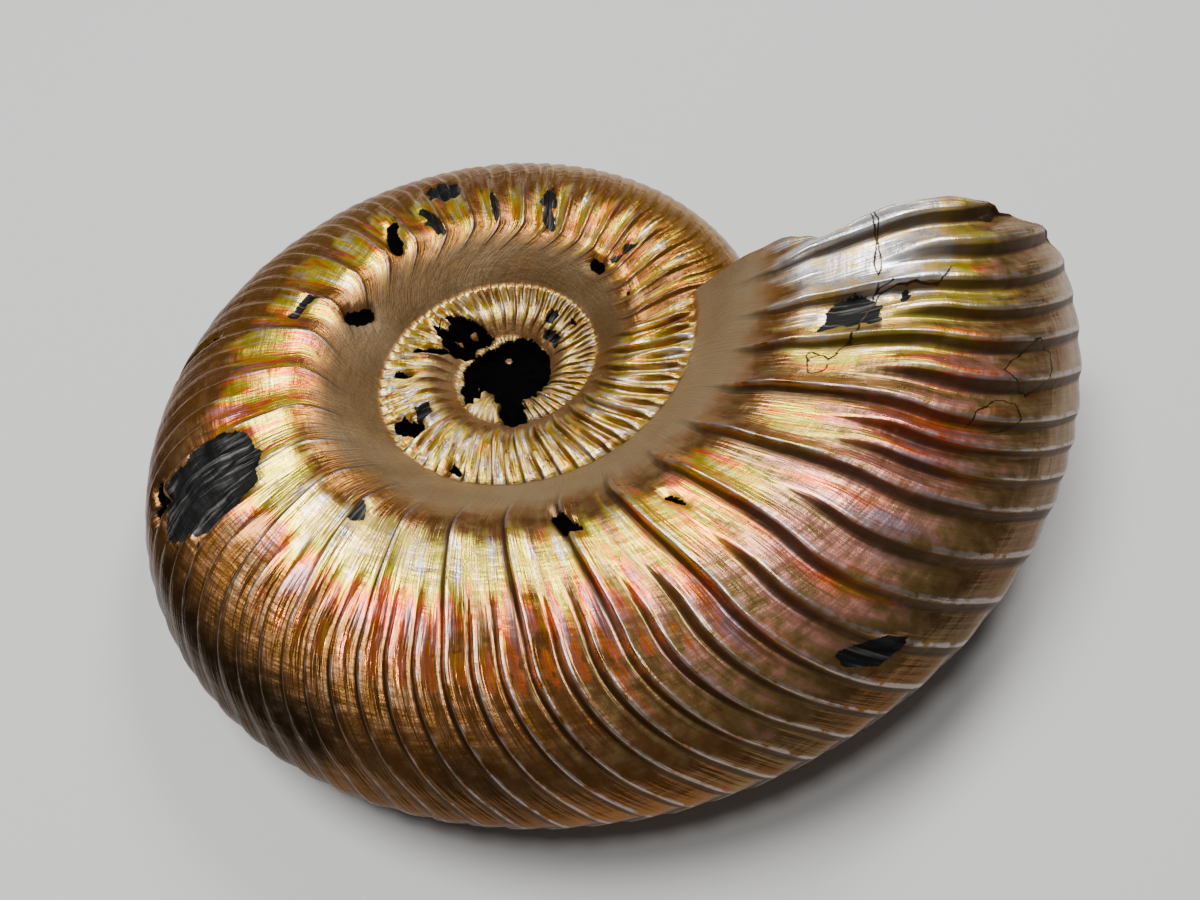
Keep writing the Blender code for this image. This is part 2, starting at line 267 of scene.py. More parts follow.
# Colours of the nacre as its film thickens, from silver to pink, and of the plain shell around it,
# from golden brown over chestnut to mauve.
FILM_COLOURS = {
    0.00: (0.86, 0.84, 0.86),
    0.14: (1.0, 0.66, 0.18),
    0.30: (0.64, 0.58, 0.02),
    0.46: (0.92, 0.38, 0.02),
    0.62: (0.88, 0.12, 0.02),
    0.80: (0.72, 0.24, 0.18),
    1.00: (0.34, 0.22, 0.24),
}
SHELL_COLOURS = {
    0.00: (0.42, 0.21, 0.025),
    0.30: (0.30, 0.12, 0.02),
    0.52: (0.32, 0.14, 0.05),
    0.75: (0.36, 0.23, 0.08),
    1.00: (0.62, 0.27, 0.19),
}

# Bright zones of the nacre above, painted where highlights and glare fall on it, each with its film:
# growth and place, reach along and across, strength and film. The zone without film is a painted
# silver-white glare by the broken end. Dull zones have the same numbers but no film. On the inner turns
# this bright nacre has one strength and film all over, and on the lower side it is a band: its place, its
# reach across, strength and film.
NACRE_HIGHLIGHT_ZONES = (
    (-138, 0.385, 38, 0.095, 1.0, 0.13),
    (-188, 0.39, 19, 0.14, 1.20, 0.52),
    (-240, 0.39, 44, 0.17, 0.80, 0.38),
    (-332, 0.40, 44, 0.20, 0.86, 0.38),
    (-72, 0.38, 34, 0.13, 0.66, 0.42),
    (-20, 0.44, 15, 0.20, 1.25, 0.0),
    (-130, 0.53, 42, 0.07, 0.55, 0.76),
    (-60, 0.68, 38, 0.16, 0.50, 0.80),
    (-66, 0.36, 2.5, 0.07, 1.0, 0.27),
    (-53, 0.39, 2.5, 0.05, 1.0, 0.28),
    (-40, 0.375, 3, 0.05, 0.9, 0.24),
)
DULL_ZONES = (
    (-60.5, 0.36, 5, 0.10, 0.95),
    (-47.5, 0.33, 3.5, 0.07, 0.85),
    (-150, 0.27, 5, 0.04, 0.7),
)
INNER_ZONE = (0.58, 0.19)
INNER_PLACES = (0.06, 0.24)
BELOW_ZONE = (0.36, 0.10, 0.55, 0.38)
BELOW_CLOUDS = (0.7, 0.6, 5.0)
FAINTEST = 0.001

# The soft folds are striped: brighter and of a thinner film at this share of the way between ribs.
FOLD_STRIPE_AT = 0.3
FOLD_STRIPE_PLACES = (0.15, 0.3)
FOLD_GLOW = 0.45
FOLD_FILM = 0.12

# The row of red sparks in front, painted glints of the nacre's red film, by the same four numbers, with
# their strength, and where they lie between one rib and the next.
PAINTED_GLINTS = (-116, 0.63, 36, 0.05)
SPARK_STRENGTH = 2.0
SPARK_RISE, SPARK_FALL = (0.14, 0.3), (0.46, 0.62)

# The dull wall round the centre: where on the flank it ends, how much that wanders, how much less dull
# it is on the inner turns, and where it is pale.
WALL_EDGE = (0.16, 0.27)
WALL_WANDER = 0.02
WALL_LUMPS = 1.5
WALL_INNER_FADE = 0.3
WALL_PALE = (-50, 0.1, 100, 0.6)

# A rib has painted shade, partly dirt in the groove, just behind its crest, and is silver on it with a
# painted highlight, over shares of the way to the next rib, and of part of the way between primary ribs.
# Both fade on soft ribs, the shade also on folds and the silver low in front.
SHADE_STARTS = (0.08, 0.22)
PRIMARY_SHADE = 0.55
SHADE_RISE, SHADE_FALL = (0.02, 0.1), (0.16, 0.4)
SILVER_WIDTH = 0.16
SILVER_FRONT = np.radians((-95, -125))
SILVER_LOW = (0.5, 0.75)
SILVER_FADES, SHADE_FADES = (0.6, 0.9), (0.4, 0.6)

# Where the plain shell is more golden or more mauve, and where painted shade darkens it towards the outer
# edge:
# the same four numbers, and how much. Elsewhere it has a mean tone, with clouds of a strength and a size.
MEAN_TONE = 0.45
TONE_CLOUDS = (0.15, 4.0)
SHELL_TONES = (
    (-330, 0.75, 45, 0.30, -0.42),
    (-235, 0.75, 40, 0.30, -0.25),
    (-60, 0.65, 46, 0.30, 0.45),
    (-150, 0.62, 50, 0.25, -0.10),
)
PAINTED_SHADE_ZONES = (
    (-150, 0.92, 60, 0.25, 1.0),
    (-60, 0.97, 42, 0.16, 0.75),
    (-215, 0.90, 34, 0.24, 0.7),
    (-300, 1.0, 60, 0.14, 0.35),
)

# The septum at the broken end: rings as a share of the way in and a depth, its folds and its roughness.
SEPTUM_RINGS = (
    (0.012, 0.02), (0.03, 0.05), (0.045, 0.5), (0.06, 0.95), (0.09, 1.05), (0.14, 1.0), (0.21, 0.95),
    (0.30, 1.0), (0.41, 1.1), (0.54, 1.2), (0.68, 1.25), (0.84, 1.25),
)
SEPTUM_DEPTH = 1.25
SEPTUM_FOLD = 0.32
SEPTUM_FOLDS = 9
SEPTUM_FOLDS_TO = 0.3
SEPTUM_ROUGHNESS = 0.06
SEPTUM_LUMPS = 0.5
SEPTUM_ROUGH_FROM = 0.05

# What the marks' fields hold on the faces that close the end, the centre above and the centre below.
CLOSING_VALUES = {
    "lost": (-1, -1, -1), "hole": (-1, 1, -1), "crack": (1, 1, 1), "to_crack": (1, 1, 1),
    "inside": (1, 0, 0),
}

# How the skin is spread out for baking: the heights of its bands, on each side from the innermost turn,
# and the closing faces beyond them. Those also have a stretch of the ribs' textures each.
BAKE_BANDS = {1: (0.05, 0.10, 0.19), -1: (0.03, 0.06, 0.15)}
BAKE_GAP = 0.004
BAKE_END = 0.05
CLOSING_RIBS = 7
CLOSING_PLACES = 0.05

# The nacre's textures: a scale along the count of ribs and the flank, or to the millimetre, a detail and
# a roughness. Then how much of each texture is added to what.
RIB_TEXTURES = {
    "streaks": ((2.3, 5.0, 1.0), 2.0, 0.5),
    "stripes": ((1.6, 2.6, 1.0), 1.0, 0.5),
    "fibres": ((9.0, 9.0, 1.0), 2.0, 0.5),
    "lines": ((0.6, 42.0, 1.0), 2.0, 0.5),
}
SOLID_TEXTURES = {"flecks": (1.5, 3.0, 0.5), "grain": (9, 3.0, 0.6), "clouds": (0.22, 2.0, 0.5)}
NOISE_RANGE = (0.25, 0.75)
FILM_TEXTURE = {"lines": 0.05, "flecks": 0.08}
FILM_STREAKS = {"fibres": 0.4}
TONE_TEXTURE = {"streaks": 0.22, "lines": 0.08, "flecks": 0.16}
GLOW_TEXTURE = {"stripes": 0.30, "fibres": 0.08, "flecks": 0.10}
SPARK_TEXTURE = {"fibres": 0.5}
PAINTED_SHADE_TEXTURE = {"clouds": 0.3}
SHADE_TEXTURE = {"streaks": 0.3}
WALL_FLECKS = 0.12
PALE_TEXTURE = {"clouds": 0.5, "grain": 0.2}
EDGE_TEXTURE = {"grain": 0.05}
CRACK_TEXTURE = {"flecks": 0.02}
ROUGH_TEXTURE = {"flecks": 0.06}
HEIGHT_TEXTURE = {"fibres": 0.012 * MM, "grain": 0.0015 * MM, "lines": 0.008 * MM}

# Over what range of its field each look comes in, and how far it covers what lies under it.
GLOW_RANGE = (0.28, 0.75)
VARIETY_RANGE, VARIETY, INNER_VARIETY = (0.10, 0.34), (0.10, 0.42), 0.3
SPARK_RANGE, SPARK_FLECKS, SPARK_LEAST = (0.45, 0.9), (-0.8, 0.6), 0.3
SILVER_RANGE, SILVER_COVER = (0.3, 0.9), 0.5
SHADE_RANGE, SHADE_COVER = (0.15, 0.9), 0.9
PALE_RANGE, WALL_COVER = (-0.3, 0.9), 0.9
LOST_RANGE, HOLE_RANGE = (-0.02, 0.03), (-0.03, 0.03)
STONE_RANGE, BRONZE_RANGE = (0.1, 1.2), (-0.6, 0.6)
CRACK_RANGE = (CRACK_WIDTH * 1.6, CRACK_WIDTH * 0.6)
CRACK_FADE = (CRACK_REACH * 1.4, CRACK_REACH)

# Colours of the painted red glints, the wall, the ribs' silver crests with a painted highlight and their
# painted shade, and the bare places, and how metallic and rough each is.
SPARK_COLOURS = {0.0: (1.0, 0.62, 0.08), 0.4: (1.0, 0.24, 0.03), 1.0: (1.0, 0.36, 0.26)}
WALL_COLOUR = (0.24, 0.175, 0.095)
WALL_DARK = (0.085, 0.05, 0.016)
SILVER = (0.46, 0.42, 0.42)
DARK_BROWN = (0.045, 0.025, 0.012)
STONE = (0.008, 0.008, 0.008)
STONE_PALE = (0.085, 0.083, 0.076)
BRONZE = (0.10, 0.07, 0.04)
BLACK = (0.004, 0.004, 0.004)
NACRE_METAL, WALL_METAL, BARE_METAL, HOLE_METAL = 0.9, 0.6, 0.85, 1.0
NACRE_ROUGH, SHADE_ROUGH, SPARK_ROUGH = 0.30, 0.5, 0.2
WALL_ROUGH, BARE_ROUGH, HOLE_ROUGH = 0.55, 0.55, 0.95

# The rest pose, and where the coil's centre then lies on the table.
LIFT = math.radians(4.75)
LIFTED_SIDE = math.radians(-12.5)
FRONT_TURN = math.radians(21.5)
COIL_CENTRE = (-4.5535, 3.8079, 5.5259)
KEPT_INSIDE = 0.002

# The photograph's viewpoint, from the coil's centre, and its lens on a 36 mm sensor.
VIEWPOINT = (8.228, -38.831, 46.643)
VIEW_RIGHT = (0.99708, 0.00432, -0.07628)
VIEW_UP = (0.04130, 0.80943, 0.58576)
LENS = 34.5
SENSOR = 36.0

# The floor, the world's light and the lamps, in metres, watts and degrees: for a lamp its azimuth and
# elevation, its size and its power.
FLOOR_HALF = 1.5
FLOOR_COLOUR = (0.56, 0.555, 0.545, 1)
FLOOR_ROUGHNESS = 0.8
WORLD_STRENGTH = 0.10
LAMP_DISTANCE = 0.35
LAMPS = {
    "overhead": (165, 74, 0.17, 1.45),
    "back": (62, 48, 0.10, 0.65),
    "front": (250, 76, 0.05, 0.32),
}
CLIP_START = 0.001


def smooth(low, high, x):
    share = np.clip((np.asarray(x) - low) / (high - low), 0, 1)
    return share * share * (3 - 2 * share)


def chance(cells, seed):
    """A number from 0 to 1 for each cell of whole numbers, always the same one."""
    mixed = np.sin(cells @ np.array([127.1, 311.7, 74.7][: cells.shape[-1]]) + seed * 17.3)
    return (mixed * 43758.5453) % 1


def cloud(points, size, seed):
    """Smooth noise from -1 to 1, with lumps of the given size."""
    scaled = np.asarray(points) / size
    cell = np.floor(scaled)
    share = scaled - cell
    share = share * share * (3 - 2 * share)
    total = 0
    for corner in itertools.product((0, 1), repeat=scaled.shape[-1]):
        weight = np.prod(np.where(corner, share, 1 - share), axis=-1)
        total = total + weight * chance(cell + corner, seed)
    return 2 * total - 1


def rough(points, sizes, seed):
    """Smooth noise of two sizes, the smaller half as strong."""
    return cloud(points, sizes[0], seed) + 0.5 * cloud(points, sizes[1], seed + 1)


def outer_radius(t):
    return OUTER_RADIUS * np.exp(OUTER_GROWTH * t)


def seam_radius(t):
    return SEAM_RADIUS * np.exp(SEAM_GROWTH * t + SEAM_SLOWING * t * t)


def half_thickness(t):
    return HALF_THICKNESS * np.exp(THICKNESS_GROWTH * t)


def shoulder_radius(t):
    return seam_radius(t) + SHOULDER_AT * (outer_radius(t) - seam_radius(t))


def flank_height(radius, t):
    """Half the whorl's thickness at a radius outside its shoulder."""
    across = (radius - shoulder_radius(t)) / (outer_radius(t) - shoulder_radius(t))
    return half_thickness(t) * (1 - np.clip(across, 0, 1) ** FLANK_POWER) ** FLANK_ROOT


def section(t):
    """The plain section of a whorl: radii, heights and places from the seam to the outer edge."""
    seam, shoulder = seam_radius(t), shoulder_radius(t)
    seam_height = flank_height(seam, t - TURN)
    wall = np.linspace(0, 1, SECTION_STEPS)[:-1]
    wall_radius = seam + (shoulder - seam) * wall
    wall_height = seam_height + (half_thickness(t) - seam_height) * (1 - (1 - wall) ** WALL_ROUNDING)
    across = np.sin(np.linspace(0, math.pi / 2, SECTION_STEPS))
    flank_radius = shoulder + (outer_radius(t) - shoulder) * across
    radius = np.concatenate([wall_radius, flank_radius])
    height = np.concatenate([wall_height, flank_height(flank_radius, t)])
    length = np.concatenate([[0], np.cumsum(np.hypot(np.diff(radius), np.diff(height)))])
    return radius, height, length / length[-1], length[-1]


def section_tables():
    """Radius, height and girth of the plain surface at every table angle and place."""
    radius = np.empty((len(TABLE_ANGLES), len(TABLE_PLACES)))
    height = np.empty_like(radius)
    girth = np.empty(len(TABLE_ANGLES))
    for row, t in enumerate(TABLE_ANGLES):
        r, z, places, girth[row] = section(t)
        radius[row] = np.interp(TABLE_PLACES, places, r)
        height[row] = np.interp(TABLE_PLACES, places, z)
    return radius, height, girth


RADII, HEIGHTS, GIRTHS = section_tables()


def read(table, t, at):
    """A table's value between its angles and places."""
    row = np.clip((t - TABLE_ANGLES[0]) / (TABLE_ANGLES[1] - TABLE_ANGLES[0]), 0, len(TABLE_ANGLES) - 2)
    column = np.clip(at * (len(TABLE_PLACES) - 1), 0, len(TABLE_PLACES) - 2)
    i, j = row.astype(int), column.astype(int)
    down, along = row - i, column - j
    near = table[i, j] * (1 - along) + table[i, j + 1] * along
    far = table[i + 1, j] * (1 - along) + table[i + 1, j + 1] * along
    return near * (1 - down) + far * down


def next_seam(t):
    """The places on the flank where the next whorl's seam lies."""
    places = []
    for angle in np.atleast_1d(t):
        radius, _, at, _ = section(angle)
        places.append(np.interp(seam_radius(angle + TURN), radius, at))
    return np.array(places)


def border(x, y, corners):
    """The distance to a closed outline, positive inside it."""
    within = np.zeros(x.shape, bool)
    nearest = np.full(x.shape, np.inf)
    for (x0, y0), (x1, y1) in zip(corners, corners[1:] + corners[:1]):
        run, climb = x1 - x0, y1 - y0
        if climb:
            within ^= ((y0 > y) != (y1 > y)) & (x < x0 + run * (y - y0) / climb)
        nearest = np.minimum(nearest, line_distance(x, y, (x0, y0), (x1, y1)))
    return np.where(within, nearest, -nearest)


def line_side(x, y, first, last):
    """1 on the left of a line and -1 on its right."""
    return np.sign((last[0] - first[0]) * (y - first[1]) - (last[1] - first[1]) * (x - first[0]))


def line_distance(x, y, first, last):
    run, climb = last[0] - first[0], last[1] - first[1]
    share = np.clip(((x - first[0]) * run + (y - first[1]) * climb) / (run * run + climb * climb), 0, 1)
    return np.hypot(x - first[0] - share * run, y - first[1] - share * climb)


def spread(skin, side, spots):
    """The vertices near a mark, with them and the mark's spots laid out flat in millimetres."""
    angles, places = np.radians([spot[0] for spot in spots]), np.array([spot[1] for spot in spots])
    middle = angles.mean()
    near = (skin.side == side) & (np.abs(skin.growth - middle) < MARK_REACH)
    along = np.interp(places.mean(), TABLE_PLACES, RADII[np.abs(TABLE_ANGLES - middle).argmin()])
    across = np.interp(middle, TABLE_ANGLES, GIRTHS)
    laid = [(float(x), float(y)) for x, y in zip((angles - middle) * along, places * across)]
    return near, (skin.growth[near] - middle) * along, skin.at[near] * across, laid


def primary_angle(number):
    angle = FIRST_PRIMARY - TURN * number / PRIMARIES_A_TURN
    for size, middle, width in SHIFTS:
        angle += size * math.exp(-(((number - middle) / width) ** 2))
    return angle


def secondaries_after(number):
    """How many secondary ribs stand between a primary rib and the next one towards the end."""
    return 2 if (number - 1) % PRIMARIES_A_TURN in DOUBLE_GAPS else 1


def rib_crests(turns):
    """The growth angles of all ribs, and of the primary ribs alone."""
    ribs, primaries = [], []
    for number in range(PRIMARIES_A_TURN * turns, -4, -1):
        here, after = primary_angle(number), primary_angle(number - 1)
        steps = secondaries_after(number) + 1
        primaries.append(here)
        ribs += [here + (after - here) * step / steps for step in range(steps)]
    return np.array(ribs), np.array(primaries)


RIBS, PRIMARIES = rib_crests(TURNS + 1)
COLUMNS_A_TURN = len(PHASES) * (2 * PRIMARIES_A_TURN + len(DOUBLE_GAPS))


def lean(start, at):
    """How far forward the rib that starts at this growth has come at a place on the flank."""
    outer = np.clip((at - EDGE_FROM) / (1 - EDGE_FROM), 0, 1) ** EDGE_POWER
    shares = smooth(0, WALL_TO, at), smooth(MIDDLE_FROM, MIDDLE_TO, at), outer
    total = 0
    for (mean, swing, toward), share in zip((WALL_LEAN, MIDDLE_LEAN, EDGE_LEAN), shares):
        total = total + (mean + swing * np.cos(start - toward)) * share
    return total


def phase(start, crests):
    """How many crests lie behind a start, with the share of the way to the next one."""
    return np.interp(start, crests, np.arange(len(crests)))


def wander(start, at):
    """How far a rib strays from its plain line."""
    spot = np.stack([phase(start, RIBS) * WANDERS_A_RIB, at * WANDERS_A_FLANK], -1)
    return WANDER * cloud(spot, 1.0, 5) * smooth(*WANDER_STARTS, at) * (1 - smooth(*WANDER_ENDS, at))


def rib_count(start):
    """The count of ribs at a start. On the inner turns each gap holds one secondary rib."""
    within = smooth(*INNER_GROWTHS, start)
    return np.where(within > 0.5, 2 * phase(start, PRIMARIES), phase(start, RIBS))


def rib_heights(start):
    """Relief of all ribs, and of the primary ribs alone, from 0 in a groove to about 1 on a crest."""
    count = rib_count(start)
    past = count % 1
    fall = (0.5 + 0.5 * np.cos(math.pi * np.minimum(past / GROOVE_AT, 1))) ** RIB_FULLNESS
    rise = smooth(GROOVE_AT, 1, past)
    number = np.floor(count)
    here, after = chance(number[..., None], 3), chance(number[..., None] + 1, 3)
    own = 1 + RIB_CHANCE * (2 * (here * (1 - past) + after * past) - 1)
    ribbed = np.where(past < GROOVE_AT, fall, rise) * own
    past = phase(start, PRIMARIES) % 1
    crest = np.exp(-((past / CREST_AHEAD) ** CREST_SLOPE)) + np.exp(-(((1 - past) / CREST_BEHIND) ** 2))
    folded = FOLDED_RIBS * folds(start)
    return ribbed, crest * (1 - folded) + folded * (0.5 + 0.5 * np.cos(TURN * past))


def folds(t):
    """1 on the first half of the last turn, where the ribs are soft folds, and 0 elsewhere."""
    return smooth(*SOFT_GROWTHS, t) * (1 - smooth(*INNER_GROWTHS, t))


def softness(t, at):
    """1 where ribs are low: on the outer flank of the first half of the last turn."""
    return folds(t) * smooth(*SOFT_PLACES, at)


def relief(t, start, at):
    """Height of the ribs and the keel above the plain surface."""
    ribbed, crest = rib_heights(start)
    within = smooth(*INNER_GROWTHS, t)
    outer = smooth(*SECONDARY_STARTS, at + INNER_SECONDARIES * within)
    inner = smooth(*PRIMARY_STARTS, at + INNER_SECONDARIES * within / 2) * (1 - outer)
    keel = KEEL_HEIGHT * smooth(KEEL_FROM, 1, at)
    faded = (1 - EDGE_FADE * smooth(EDGE_FROM, 1, at)) * (1 - RIM_FADE * smooth(*RIM_PLACES, at))
    size = outer_radius(t) / OUTER_RADIUS * (1 + INNER_RELIEF * within)
    soft = 1 - SOFT_RIBS * softness(t, at)
    return size * (RIB_HEIGHT * faded * (inner * crest + outer * soft * (ribbed - RIB_LEVEL)) + keel)


def column_starts():
    """Where each column starts, up to the broken end."""
    steps = np.diff(RIBS)[:, None] * np.array(PHASES)[None]
    starts = (RIBS[:-1, None] + steps).ravel()
    return starts[starts < LAST_START][-TURNS * COLUMNS_A_TURN - 1:]


def end_angle(at):
    """The growth angle of the ragged broken end at a place on the flank."""
    ragged = END_RAGGED * rough(np.asarray(at)[..., None], END_LUMPS, 8)
    return np.interp(at, END_PLACES, END_ANGLES) + ragged * smooth(*END_RAGGED_PLACES, at)


def show(name, data):
    made = bpy.data.objects.new(name, data)
    bpy.context.scene.collection.objects.link(made)
    return made


class Skin:
    """The grid of the skin: for each vertex its column, its place and its side, and for each face its
    vertices, the columns that own its corners and its side."""

    def __init__(self):
        self.starts = column_starts()
        self.last = len(self.starts) - 1
        self.first_whole = self.last - COLUMNS_A_TURN
        self.covers = next_seam(self.starts)
        self.index, self.at, self.side = [], [], []
        self.faces, self.owners, self.face_sides = [], [], []
        self.columns = {1: [], -1: []}
        for side, columns in self.columns.items():
            for index in range(self.last + 1):
                columns.append(self.column(columns, index, side))
        upper, lower = self.columns[1], self.columns[-1]
        for index in range(self.first_whole, self.last + 1):
            lower[index].append(upper[index][-1])
        for side, columns in self.columns.items():
            for index in range(self.last):
                self.join(columns, index, side)

    def inner_rows(self, index, side):
        return INNER_ROWS[side][min(index // COLUMNS_A_TURN, TURNS - 1)]

    def column(self, columns, index, side):
        """One column on one side: its seam vertex is the covered end of the column a turn further in."""
        rows = self.inner_rows(index, side)
        places = list(self.covers[index] * np.linspace(0, 1, rows + 1))
        column = []
        if index >= COLUMNS_A_TURN:
            inner = index - COLUMNS_A_TURN
            column.append(columns[inner][self.inner_rows(inner, side)])
            places = places[1:]
        if index >= self.first_whole:
            shares = np.linspace(0, 1, OUTER_ROWS[side] + 1)[1:]
            beyond = list(self.covers[index] + (1 - self.covers[index]) * shares)
            places += beyond if side > 0 else beyond[:-1]
        for place in places:
            column.append(len(self.index))
            self.index.append(index)
            self.at.append(place)
            self.side.append(side)
        return column

    def join(self, columns, index, side):
        """Faces between a column and the next. Two of unlike lengths are joined by triangles."""
        near, far = columns[index], columns[index + 1]
        made = []
        if len(near) == len(far):
            for row in range(len(near) - 1):
                behind = [(near[row], index), (near[row + 1], index)]
                made.append(behind + [(far[row + 1], index + 1), (far[row], index + 1)])
        else:
            near = near[: self.inner_rows(index, side) + 1]
            far = far[: self.inner_rows(index + 1, side) + 1]
            i = j = 0
            while i + 1 < len(near) or j + 1 < len(far):
                if (i + 1) * (len(far) - 1) <= (j + 1) * (len(near) - 1):
                    made.append([(near[i], index), (near[i + 1], index), (far[j], index + 1)])
                    i += 1
                else:
                    made.append([(near[i], index), (far[j + 1], index + 1), (far[j], index + 1)])
                    j += 1
        for corners in made:
            corners = corners if side > 0 else corners[::-1]
            self.faces.append([vertex for vertex, _ in corners])
            self.owners.append([column for _, column in corners])
            self.face_sides.append(side)

    def settle(self):
        """Turns the lists into arrays, and finds each vertex's growth and its own start."""
        self.index, self.at, self.side = (np.array(values) for values in (self.index, self.at, self.side))
        start = self.starts[self.index]
        angle = start + lean(start, self.at) + wander(start, self.at)
        held = 1 - smooth(0, SEAM_FREE, self.at)
        inner = np.maximum(self.index - COLUMNS_A_TURN, 0)
        under, cover = self.starts[inner], self.covers[inner]
        meeting = under + lean(under, cover) + wander(under, cover) + TURN
        angle += np.where(self.index >= COLUMNS_A_TURN, (meeting - start) * held, 0)
        room = end_angle(self.at) - angle
        crowded = angle + (room - np.hypot(room, 2 * END_CROWDING)) / 2
        crowded = np.where(self.index == self.last, end_angle(self.at), crowded)
        near_end = self.index > self.last - END_CROWDED_COLUMNS
        self.growth = np.where(near_end, angle * held + crowded * (1 - held), angle)
        self.start = start + self.growth - angle


def skin_points(skin, raised):
    """Points of the skin in the coil's own frame, raised from the plain surface along its normal."""
    growth, at = skin.growth, skin.at
    behind, ahead = np.maximum(at - TANGENT_STEP, 0), np.minimum(at + TANGENT_STEP, 1)
    run = read(RADII, growth, ahead) - read(RADII, growth, behind)
    climb = read(HEIGHTS, growth, ahead) - read(HEIGHTS, growth, behind)
    run, climb = np.where(at >= 1, 0, run), np.where(at >= 1, -1, climb)
    share = raised / np.hypot(run, climb)
    radius = read(RADII, growth, at) - share * climb
    height = read(HEIGHTS, growth, at) + share * run
    return np.stack([radius * np.cos(growth), radius * np.sin(growth), skin.side * height], -1)


def lay_down(points):
    """Puts points of the coil in its rest pose on the table, with what lies under it worn flat."""
    hinge = Vector((math.sin(LIFTED_SIDE), -math.cos(LIFTED_SIDE), 0))
    turn = Matrix.Rotation(FRONT_TURN, 3, "Z") @ Matrix.Rotation(LIFT, 3, hinge)
    placed = points @ np.array(turn).T + np.array(COIL_CENTRE)
    low, high = (np.array(corner) / MM for corner in cad_box)
    return np.clip(placed, low + KEPT_INSIDE, high - KEPT_INSIDE)


def mark_fields(skin, plain):
    """For each vertex how far inside lost shell and a hole it lies, and how far from a crack and on which
    side of it. Also how far the marks sink it. All in millimetres."""
    ragged = rough(plain, MARK_LUMPS, 41)
    lost, hole = np.full(len(plain), -1.0), np.full(len(plain), -1.0)
    crack, to_crack = np.ones(len(plain)), np.ones(len(plain))
    sunk = np.zeros(len(plain))
    for side, marks in ((1, LOST_SHELL), (-1, LOST_BELOW)):
        for corners in marks:
            near, x, y, laid = spread(skin, side, corners)
            inside = border(x, y, laid) + LOST_RAGGED * ragged[near]
            lost[near] = np.maximum(lost[near], inside)
    for side, marks in ((1, HOLES), (-1, HOLES_BELOW)):
        for *ends, half_width, depth in marks:
            near, x, y, laid = spread(skin, side, ends)
            inside = half_width + HOLE_RAGGED * ragged[near] - line_distance(x, y, *laid)
            hole[near] = np.maximum(hole[near], inside)
            sunk[near] = np.maximum(sunk[near], depth * smooth(-HOLE_EDGE, HOLE_EDGE, inside))
    for spots in CRACKS:
        near, x, y, laid = spread(skin, 1, spots)
        x, y = x + CRACK_WANDER * ragged[near], y - CRACK_WANDER * ragged[near]
        for ends in zip(laid, laid[1:]):
            away = line_distance(x, y, *ends)
            across = away * line_side(x, y, *ends)
            crack[near] = np.where(away < to_crack[near], across, crack[near])
            to_crack[near] = np.minimum(to_crack[near], away)
    sunk += LOST_DEPTH * smooth(*LOST_EDGE, lost) * (1 + 0.5 * cloud(plain, LOST_LUMPS, 43))
    sunk += CRACK_DEPTH * (1 - smooth(0, CRACK_REACH, to_crack))
    return {"lost": lost, "hole": hole, "crack": crack, "to_crack": to_crack}, sunk


def with_bits(points, outline, bits, ragged):
    """How far inside an outline each point lies, with round bits left standing in it."""
    x, y = points[:, 0], points[:, 1]
    inside = border(x, y, outline) + CENTRE_RAGGED * ragged
    for bit_x, bit_y, radius in bits:
        inside = np.minimum(inside, np.hypot(x - bit_x, y - bit_y) - radius * (1 + BIT_RAGGED * ragged))
    return inside


def break_centre(skin, points, fields):
    """Pushes the broken centre of the upper side down, and marks it as a hole."""
    near = (skin.side > 0) & (np.hypot(points[:, 0], points[:, 1]) < CENTRE_REACH)
    here = points[near]
    ragged = rough(here, CENTRE_LUMPS, 51)
    pit = with_bits(here, PIT, PIT_BITS, ragged)
    broken = with_bits(here, BROKEN, BROKEN_BITS, ragged)
    bottom = PIT_FLOOR + PIT_ROUGHNESS * np.maximum(cloud(here, PIT_LUMPS, 53), PIT_LOWEST)
    deep = smooth(*PIT_EDGE, pit)
    here[:, 2] = here[:, 2] * (1 - deep) + np.minimum(bottom, here[:, 2]) * deep
    here[:, 2] -= BROKEN_DEPTH * smooth(*BROKEN_EDGE, broken) * (1 + 0.5 * ragged) * (1 - deep)
    points[near] = here
    fields["hole"][near] = np.maximum(fields["hole"][near], np.maximum(pit, broken))


def close_end(skin, points):
    """The broken end: a rim and a folded septum set back inside it. Returns points and faces."""
    upper, lower = skin.columns[1], skin.columns[-1]
    first, last = skin.first_whole, skin.last
    over = upper[last] + lower[last][-2::-1]
    under = lower[first][skin.inner_rows(first, -1) + 1:]
    under += upper[first][-2:skin.inner_rows(first, 1):-1]
    loop = over + under
    rim = points[loop]
    middle = rim.mean(0)
    middle[2] = 0
    edge = END_ANGLES[-1]
    back = np.array([math.sin(edge), -math.cos(edge), 0])
    around = np.linspace(0, TURN, len(loop), endpoint=False)
    made, faces, near = [], [], loop
    count = len(points)
    for inset, depth in SEPTUM_RINGS:
        folded = math.sin(math.pi * min(1, inset / SEPTUM_FOLDS_TO)) ** 2
        fold = SEPTUM_FOLD * np.sin(SEPTUM_FOLDS * around) * folded
        ring = rim + (middle - rim) * inset + back * (depth + fold[:, None])
        if inset > SEPTUM_ROUGH_FROM:
            ring = ring + SEPTUM_ROUGHNESS * cloud(ring, SEPTUM_LUMPS, 31)[:, None]
        far = list(range(count, count + len(loop)))
        for k in range(len(loop)):
            after = (k + 1) % len(loop)
            faces.append([near[k], near[after], far[after], far[k]])
        made.append(ring)
        count += len(loop)
        near = far
    made.append((middle + back * SEPTUM_DEPTH)[None])
    faces += [[near[k], near[(k + 1) % len(loop)], count] for k in range(len(loop))]
    return np.concatenate(made), faces


def close_centre(skin, count, side):
    """The middle of the coil inside the innermost seam. Returns one point and its faces."""
    columns = skin.columns[side]
    seam = [columns[index][0] for index in range(COLUMNS_A_TURN + 1)]
    loop = seam + columns[0][skin.inner_rows(0, side) - 1:0:-1]
    if side < 0:
        loop = loop[::-1]
    height = PIT_FLOOR if side > 0 else KNOB_HEIGHT
    faces = [[loop[k], loop[(k + 1) % len(loop)], count] for k in range(len(loop))]
    return np.array([[0, 0, height]]), faces


